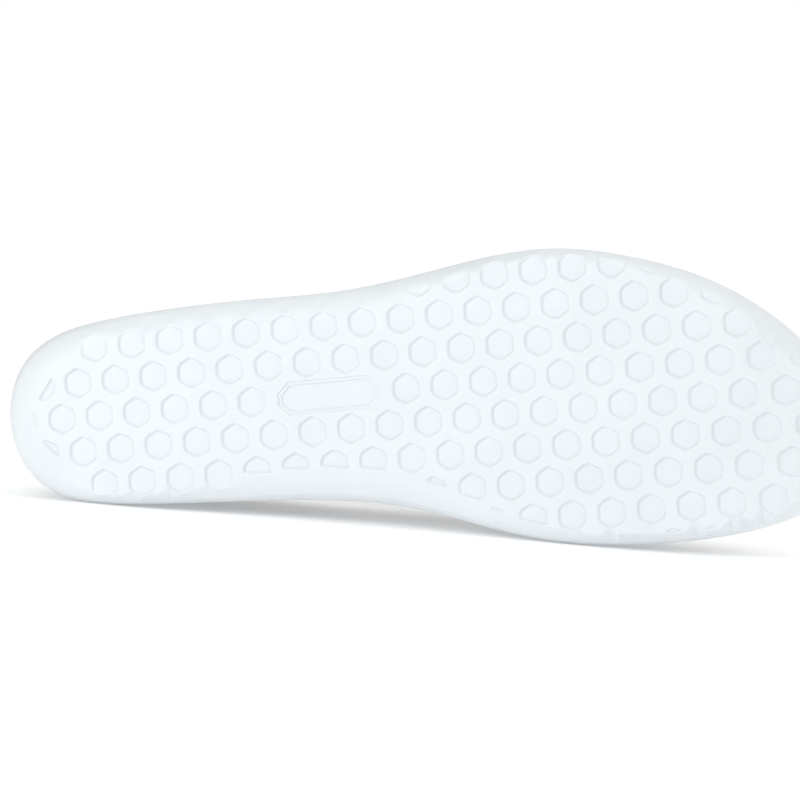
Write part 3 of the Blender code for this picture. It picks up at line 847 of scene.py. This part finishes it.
def land_points(surface, ring, loops):
    """Points over the rounded edge that keep clear of every recess."""
    plans = []
    for share in LAND_SHARES:
        plans.append(np.stack(inset_plan(ring, ring.roll * (1.0 - share)), axis=1)[::2])
    plan = np.vstack(plans)
    free = np.ones(len(plan), bool)
    for loop in loops:
        corners = np.array([surface.points[index][:2] for index in loop])
        side = np.roll(corners, -1, axis=0) - corners
        outward = np.stack([side[:, 1], -side[:, 0]], axis=1)
        outward /= np.linalg.norm(outward, axis=1)[:, None]
        beyond = np.einsum("ijk,jk->ij", plan[:, None] - corners[None], outward).max(axis=1)
        free &= beyond > LAND_CLEARANCE
    plan = plan[free]
    return surface.add_points(np.column_stack([plan, base_height(plan, ring)]))


def fill_land(surface, edge, loops, spots):
    """Triangles of the land between the tread's edge and the recesses."""
    indices = [*edge, *(index for loop in loops for index in loop), *spots]
    owner = [-1] * len(edge) + [k for k, loop in enumerate(loops) for _ in loop]
    owner += [-2] * len(spots)
    plan = [Vector(surface.points[index][:2]) for index in indices]
    borders, start = [], 0
    for loop in (edge, *loops):
        count = len(loop)
        borders += [(start + k, start + (k + 1) % count) for k in range(count)]
        start += count
    _, _, faces, origin, _, _ = delaunay_2d_cdt(plan, borders, [], 0, NO_LENGTH)
    outline = np.array([surface.points[index][:2] for index in edge])
    source = [found[0] if found else None for found in origin]
    for face in faces:
        corners = [source[k] for k in face]
        if None in corners:
            continue
        owners = {owner[k] for k in corners}
        if len(owners) == 1 and min(owners) >= 0:
            continue
        middle = sum((plan[k] for k in corners), Vector((0.0, 0.0))) / len(corners)
        if max(owners) < 0 and not inside_polygon(outline, middle):
            continue
        surface.faces.append(tuple(indices[k] for k in reversed(corners)))


def inside_polygon(outline, spot):
    """Whether a plan point lies inside a closed outline."""
    after = np.roll(outline, -1, axis=0)
    crosses = (outline[:, 1] > spot[1]) != (after[:, 1] > spot[1])
    rise = np.where(crosses, after[:, 1] - outline[:, 1], 1.0)
    x = outline[:, 0] + (spot[1] - outline[:, 1]) * (after[:, 0] - outline[:, 0]) / rise
    return bool(np.sum(crosses & (spot[0] < x)) % 2)


def side_rings(ring):
    """Rings from the tread's edge over the rounded edge, the side wall and the lip."""
    inner = stack_ring(ring, ring.roll, tread_height)
    outer = stack_ring(ring, 0.0, tread_height)
    rings = []
    for step in range(ROLL_STEPS + 1):
        start = math.asin(TREAD_EDGE)
        share = math.sin(start + (math.pi / 2.0 - start) * step / ROLL_STEPS)
        points = inner + (outer - inner) * share
        points[:, 2] += roll_rise(share)
        rings.append(points)
    widest = rings[-1]
    shoulder = stack_ring(ring, RIM_TAPER, rim_height) - (0.0, 0.0, LIP_ROUNDING)
    for share in SIDE_WALL_SHARES:
        points = widest + (shoulder - widest) * share
        points[:, :2] = widest[:, :2] + (shoulder - widest)[:, :2] * share**SIDE_WALL_BOW
        rings.append(points)
    for edge, sign in ((RIM_TAPER, 1.0), (RIM_TAPER + LIP_THICKNESS, -1.0)):
        for turn in QUARTER_TURN if sign > 0 else QUARTER_TURN[::-1]:
            inset = edge + sign * LIP_ROUNDING * (1.0 - math.cos(turn))
            points = stack_ring(ring, inset, rim_height)
            points[:, 2] -= LIP_ROUNDING * (1.0 - math.sin(turn))
            rings.append(points)
    rings.append(stack_ring(ring, RIM_TAPER + LIP_THICKNESS, bed_height))
    return rings


def close_with_strips(surface, ring):
    """Close a ring with strips that run across it from side to side."""
    count = len(ring)
    half = count // 2
    surface.faces.append((ring[0], ring[1], ring[-1]))
    surface.faces.append((ring[half - 1], ring[half], ring[half + 1]))
    for i in range(1, half - 1):
        surface.faces.append((ring[i], ring[i + 1], ring[count - i - 1], ring[count - i]))


def make_sole(ring):
    """The moulded unit: patterned bottom, rounded edge, side wall, lip and footbed."""
    surface = Surface()
    rings = [surface.add_points(points) for points in side_rings(ring)]
    for low, high in zip(rings, rings[1:]):
        surface.add_strip(low, high)
    close_with_strips(surface, rings[-1])
    loops = []
    for polygon, corner in pocket_outlines(ring):
        loops.append(add_recess(surface, ring, polygon, POCKET_RINGS, POCKET_DEPTH, corner))
    plaque = plaque_outline(cell_centre(*PLAQUE_CELLS[len(PLAQUE_CELLS) // 2]))
    depth = 2.0 * PLAQUE_STEP_DEPTH
    loops.append(add_recess(surface, ring, plaque, PLAQUE_RINGS, depth, PLAQUE_CORNER))
    loops = [loop for loop in loops if loop]
    fill_land(surface, rings[0], loops, land_points(surface, ring, loops))
    sole = surface.make("sole", sole_material())
    even_normals(sole)
    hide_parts("outsole")


# Upper


def ridge_curve(base_z, station):
    """Height of the closed sections, rounded down to the base over the toe."""
    rows = column(UPPER_SECTIONS, "station")
    height = smooth_table(rows, column(UPPER_SECTIONS, "ridge"), station) * INSTEP_HEIGHT
    toe_box = TOE_BOX_HEIGHT / (UPPER_SECTIONS[-1].ridge * INSTEP_HEIGHT)
    height = height * (1.0 + (toe_box - 1.0) * smooth_step(THROAT, 1.0, station))
    over = np.clip((station - TOE_ROUND_START) / (1.0 - TOE_ROUND_START), 0.0, 1.0)
    return base_z + (height - base_z) * (
        1.0 - over**TOE_ROUND_POWER
    ) ** (1.0 / TOE_ROUND_POWER)


def collar_height(station, throat_z):
    """Height of the top line, which meets the ridge of the vamp at the throat."""
    rows = np.append(column(COLLAR_ROWS, "station"), THROAT)
    heights = np.append(column(COLLAR_ROWS, "height") * HEEL_BACK_HEIGHT, throat_z)
    return smooth_table(rows, heights, station)


def upper_grid(ring, side):
    """Outer surface of one side of the upper as stations by rows, base row first."""
    base_x, base_y = inset_plan(ring, RIM_TAPER + LIP_THICKNESS + GAP)
    half = len(ring.x) // 2
    medial = np.arange(half + 1)
    lateral = -np.arange(half + 1)
    own, other = (medial, lateral) if side > 0 else (lateral, medial)
    station = stations()
    rows = column(UPPER_SECTIONS, "station")
    lean = smooth_table(rows, column(UPPER_SECTIONS, "lean"), station) * BALL_WIDTH
    fullness = smooth_table(rows, column(UPPER_SECTIONS, "fullness"), station)
    swell_name = "medial_swell" if side > 0 else "lateral_swell"
    swell = smooth_table(rows, column(UPPER_SECTIONS, swell_name), station) * BALL_WIDTH
    middle_x = (base_x[own] + base_x[other]) / 2.0
    closing = np.clip(np.minimum(station, 1.0 - station) / LEAN_FADE, 0.0, 1.0)
    middle_y = (base_y[own] + base_y[other]) / 2.0 + lean * closing
    base_z = bed_height(base_x[own]) + GAP
    middle_z = bed_height(middle_x) + GAP
    ridge_z = ridge_curve(middle_z, station)
    throat_z = ridge_z[REAR_STATIONS]
    top_z = np.where(station < THROAT, collar_height(station, throat_z), ridge_z)
    top_share = np.clip((top_z - middle_z) / np.maximum(ridge_z - middle_z, NO_LENGTH), 0.0, 1.0)
    top_share[REAR_STATIONS:] = 1.0
    rim_z = rim_height(base_x[own]) + GAP
    heel = np.clip(1.0 - station / HEEL_CURVE_END, 0.0, 1.0) ** 2
    grid = []
    for row in range(UPPER_STRIPS + 1):
        share = np.sin(np.arcsin(top_share) * row / UPPER_STRIPS)
        width = (1.0 - share**fullness) ** (1.0 / fullness)
        x = middle_x + (base_x[own] - middle_x) * width
        y = middle_y + (base_y[own] - middle_y) * width
        z = base_z + (ridge_z - base_z) * share
        above = np.clip((z - rim_z) / np.maximum(top_z - rim_z, 1e-6), 0.0, 1.0)
        belly = np.sin(np.pi * above) ** 2
        pinch = COLLAR_PINCH * above**2 * (station < THROAT) * heel
        y = middle_y + (y - middle_y) * (1.0 - pinch)
        heel_shift = heel * (HEEL_LEAN * above**2 - HEEL_SWELL * belly)
        x = x + ring.out_x[own] * swell * belly + heel_shift
        y = y + ring.out_y[own] * swell * belly
        z = z - crease_depth(station, above, side)
        grid.append(np.stack([x, y, z], axis=1))
    return np.array(grid).transpose(1, 0, 2)


def crease_depth(station, above, side):
    """Soft troughs over the ball, deepest on the ridge and gone at the sole."""
    depth = np.zeros(len(station))
    for crease in CREASES:
        centre = crease.station - side * crease.slant * (1.0 - above) / 4.0
        off = (station - centre) * LENGTH / crease.width
        depth += crease.depth * np.exp(-off * off) * smooth_step(*CREASE_FADE, above)
    return depth


def make_upper(ring):
    """One hollow leather shell with a textile lining on its inner face."""
    mesh = bmesh.new()
    for side in (1, -1):
        grid = upper_grid(ring, side)
        verts = [[mesh.verts.new(point) for point in line] for line in grid]
        for near, far in zip(verts, verts[1:]):
            for low in range(UPPER_STRIPS):
                face = (near[low], far[low], far[low + 1], near[low + 1])
                mesh.faces.new(face[::-1] if side > 0 else face)
    bmesh.ops.remove_doubles(mesh, verts=mesh.verts, dist=MERGE_DISTANCE)
    data = bpy.data.meshes.new("upper_shell")
    mesh.to_mesh(data)
    mesh.free()
    upper = finish("upper_shell", data, leather_material())
    data.materials.append(woven_material(LINING_LOOK, scale=420.0, strength=0.25))
    wall = upper.modifiers.new("wall", "SOLIDIFY")
    wall.thickness = UPPER_WALL
    wall.offset = -1.0
    wall.use_even_offset = True
    wall.material_offset = 1
    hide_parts("upper")


def topline(ring):
    """The collar's edge as a closed line of points, with its inward, downward and forward
    directions at each point."""
    sides = {side: upper_grid(ring, side)[: REAR_STATIONS + 1] for side in (1, -1)}
    line = np.vstack([sides[1][:, -1], sides[-1][-2:0:-1, -1]])
    row = -1 - BINDING_ROWS
    below = np.vstack([sides[1][:, row], sides[-1][-2:0:-1, row]])
    down = below - line
    down /= np.linalg.norm(down, axis=1)[:, None]
    along = np.roll(line, -1, axis=0) - np.roll(line, 1, axis=0)
    along /= np.linalg.norm(along, axis=1)[:, None]
    inward = np.cross(along, down)
    inward /= np.linalg.norm(inward, axis=1)[:, None]
    centre = line.mean(axis=0)
    flip = np.sign(np.einsum("ij,ij->i", inward, centre - line))
    return line, inward * flip[:, None], down, along


def even_spacing(line, pitch):
    """Places along a closed line at a pitch, as fractional indices of its points."""
    step = np.linalg.norm(np.roll(line, -1, axis=0) - line, axis=1)
    far = np.concatenate([[0.0], np.cumsum(step)])
    count = int(far[-1] / pitch)
    return np.interp(np.arange(count) * far[-1] / count, far, np.arange(len(far)))


def sample(field, place):
    """Value of a closed field at fractional indices."""
    low = np.floor(place).astype(int) % len(field)
    share = (place - np.floor(place))[:, None]
    return field[low] * (1.0 - share) + field[(low + 1) % len(field)] * share


def soft_wave(value, power):
    """A cosine or sine with its size raised to a power, for squarer corners."""
    return math.copysign(abs(value) ** power, value)


def make_binding(ring):
    """A leather binding folded over the collar's edge."""
    line, inward, down, _ = topline(ring)
    place = even_spacing(line, BINDING_SPACING)
    line, inward, down = sample(line, place), sample(inward, place), sample(down, place)
    half = UPPER_WALL / 2.0 + BINDING_PROUD
    surface = Surface()
    rings = []
    for k in range(BINDING_SIDES):
        turn = 2.0 * math.pi * k / BINDING_SIDES
        side = UPPER_WALL / 2.0 + half * soft_wave(math.cos(turn), BINDING_FLATNESS)
        fold = 1.0 - soft_wave(math.sin(turn), BINDING_FOLD)
        drop = BINDING_WIDTH / 2.0 * fold - BINDING_PROUD
        rings.append(surface.add_points(line + inward * side + down * drop))
    for low, high in zip(rings, rings[1:] + rings[:1]):
        surface.add_strip(low, high)
    binding = surface.make("topline_binding", leather_material())


def add_stitch(surface, centre, along, out):
    """One stitch: a small bead, half sunk, that tapers to both ends."""
    across = np.cross(along, out)
    rings = []
    for row in STITCH_RINGS:
        loop = []
        for k in range(STITCH_SIDES):
            turn = 2.0 * math.pi * k / STITCH_SIDES
            radius = STITCH_THICKNESS / 2.0 * row.size
            offset = (across * math.cos(turn) + out * math.sin(turn)) * radius
            loop.append(centre + along * row.place * STITCH_LENGTH / 2.0 + offset)
        rings.append(surface.add_points(loop))
    for low, high in zip(rings, rings[1:]):
        surface.add_strip(low, high)
    surface.faces.append(tuple(rings[0][::-1]))
    surface.faces.append(tuple(rings[-1]))


def make_stitches(ring):
    """Stitch line through the binding, all round the collar."""
    line, inward, down, along = topline(ring)
    place = even_spacing(line, STITCH_PITCH)
    line, inward = sample(line, place), sample(inward, place)
    down, along = sample(down, place), sample(along, place)
    surface = Surface()
    lift = BINDING_PROUD * STITCH_LIFT
    for k in range(len(line)):
        centre = line[k] + down[k] * (BINDING_WIDTH - STITCH_DROP) - inward[k] * lift
        add_stitch(surface, centre, along[k], -inward[k])
    stitches = surface.make("topline_stitches", thread_material())


def make_back_strip(ring):
    """A narrow leather strip over the seam at the back of the heel."""
    sides = [upper_grid(ring, side) for side in (1, -1)]
    half = BACK_STRIP_WIDTH / 2.0
    surface = Surface()
    rows = range(BACK_STRIP_START, UPPER_STRIPS - 1)
    wanted = np.linspace(-half, half, BACK_STRIP_COLUMNS)
    lines = []
    for row in rows:
        lateral = sides[1][BACK_STRIP_REACH:0:-1, row]
        medial = sides[0][:BACK_STRIP_REACH, row]
        arc = np.vstack([lateral, medial])
        step = np.linalg.norm(np.diff(arc, axis=0), axis=1)
        far = np.concatenate([[0.0], np.cumsum(step)])
        far -= far[BACK_STRIP_REACH]
        points = np.stack([np.interp(wanted, far, arc[:, axis]) for axis in range(3)], axis=1)
        ends = min(row - rows[0], rows[-1] - row) / BACK_STRIP_END_ROWS
        sides_in = (half - np.abs(wanted)) / BACK_STRIP_EDGE
        raised = np.sqrt(np.clip(np.minimum(sides_in, ends), 0.0, 1.0))
        points[:, 0] -= BACK_STRIP_PROUD * raised - BACK_STRIP_SUNK * (raised <= 0.0)
        lines.append(surface.add_points(points))
    for low, high in zip(lines, lines[1:]):
        for k in range(len(low) - 1):
            surface.faces.append((low[k], low[k + 1], high[k + 1], high[k]))
    strip = surface.make("back_strip", leather_material())


def make_insole(ring):
    """The insole: a foam sheet with a textile top."""
    edge = RIM_TAPER + LIP_THICKNESS + GAP + UPPER_WALL + INSOLE_SIDE_GAP
    bevel = INSOLE_THICKNESS * INSOLE_BEVEL
    surface = Surface()
    rings = [stack_ring(ring, edge, bed_height) + (0.0, 0.0, GAP)]
    for turn in QUARTER_TURN:
        points = stack_ring(ring, edge + bevel * (1.0 - math.cos(turn)), bed_height)
        points[:, 2] += GAP + INSOLE_THICKNESS - bevel * (1.0 - math.sin(turn))
        rings.append(points)
    rings = [surface.add_points(points) for points in rings]
    for low, high in zip(rings, rings[1:]):
        surface.add_strip(low, high)
    close_with_strips(surface, rings[0][::-1])
    close_with_strips(surface, rings[-1])
    textile = woven_material(INSOLE_LOOK, scale=380.0, strength=0.35)
    insole = surface.make("insole_sheet", textile)
    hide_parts("insole")


# Studio


def make_floor():
    """A wide pale floor, faintly lit from within like a light table."""
    material, _, shader, _ = mottled_material(FLOOR_LOOK)
    shader.inputs["Specular IOR Level"].default_value = 0.1
    shader.inputs["Emission Color"].default_value = (1.0, 1.0, 1.0, 1.0)
    shader.inputs["Emission Strength"].default_value = FLOOR_GLOW
    bpy.ops.mesh.primitive_plane_add(size=FLOOR_SIZE, location=(0.0, 0.0, 0.0))
    floor = bpy.context.object
    floor.name = "floor"
    floor.data.materials.append(material)


def add_key():
    """A soft square light from the left in front."""
    data = bpy.data.lights.new("key", "AREA")
    data.shape = "RECTANGLE"
    data.size = KEY_SIDE
    data.size_y = KEY_SIDE
    data.energy = KEY_POWER
    light = bpy.data.objects.new("key", data)
    light.location = KEY_PLACE
    toward = Vector(KEY_AIM) - Vector(KEY_PLACE)
    light.rotation_euler = toward.to_track_quat("-Z", "Y").to_euler()
    bpy.context.scene.collection.objects.link(light)


def light_surround():
    """A surround that dims on the heel's side and is a little stronger above."""
    world = bpy.data.worlds.new("studio")
    world.use_nodes = True
    tree = world.node_tree
    background = tree.nodes["Background"]
    background.inputs["Color"].default_value = (1.0, 1.0, 1.0, 1.0)
    place = add_node(tree, "ShaderNodeTexCoord")
    axes = add_node(tree, "ShaderNodeSeparateXYZ")
    tree.links.new(place.outputs["Generated"], axes.inputs["Vector"])
    shares = []
    changes = (("X", HEEL_SIDE_FADE, HEEL_SIDE_LIGHT), ("Z", TOP_FADE, TOP_LIGHT))
    for axis, fade, share in changes:
        spread = add_node(tree, "ShaderNodeMapRange", interpolation_type="SMOOTHSTEP")
        spread.inputs["From Min"].default_value = fade[0]
        spread.inputs["From Max"].default_value = fade[1]
        spread.inputs["To Min"].default_value = 1.0
        spread.inputs["To Max"].default_value = share
        tree.links.new(axes.outputs[axis], spread.inputs["Value"])
        shares.append(spread.outputs["Result"])
    product = add_node(tree, "ShaderNodeMath", operation="MULTIPLY")
    tree.links.new(shares[0], product.inputs[0])
    tree.links.new(shares[1], product.inputs[1])
    tree.links.new(product.outputs["Value"], background.inputs["Strength"])
    bpy.context.scene.world = world


def place_camera():
    """The photo's camera: its angle to the lying shoe, rolled, with a long lens."""
    data = bpy.data.cameras.new("camera")
    data.sensor_width = SENSOR_WIDTH
    data.lens = FOCAL_LENGTH
    data.clip_start = NEAREST_SEEN
    data.clip_end = FURTHEST_SEEN
    camera = bpy.data.objects.new("camera", data)
    azimuth, elevation = math.radians(AZIMUTH), math.radians(ELEVATION)
    back = Vector((
        math.sin(azimuth) * math.cos(elevation),
        -math.cos(azimuth) * math.cos(elevation),
        math.sin(elevation),
    ))
    level = back.to_track_quat("Z", "Y")
    turn = level @ Matrix.Rotation(math.radians(ROLL), 3, "Z").to_quaternion()
    place = Matrix.Translation(Vector(AIM) + back * DISTANCE)
    camera.matrix_world = place @ turn.to_matrix().to_4x4()
    bpy.context.scene.collection.objects.link(camera)
    bpy.context.scene.camera = camera
    bpy.context.scene.view_settings.view_transform = "Standard"


place_camera()
light_surround()
add_key()
make_floor()
outline = outline_ring()
make_sole(outline)
make_upper(outline)
make_binding(outline)
make_stitches(outline)
make_back_strip(outline)
make_insole(outline)
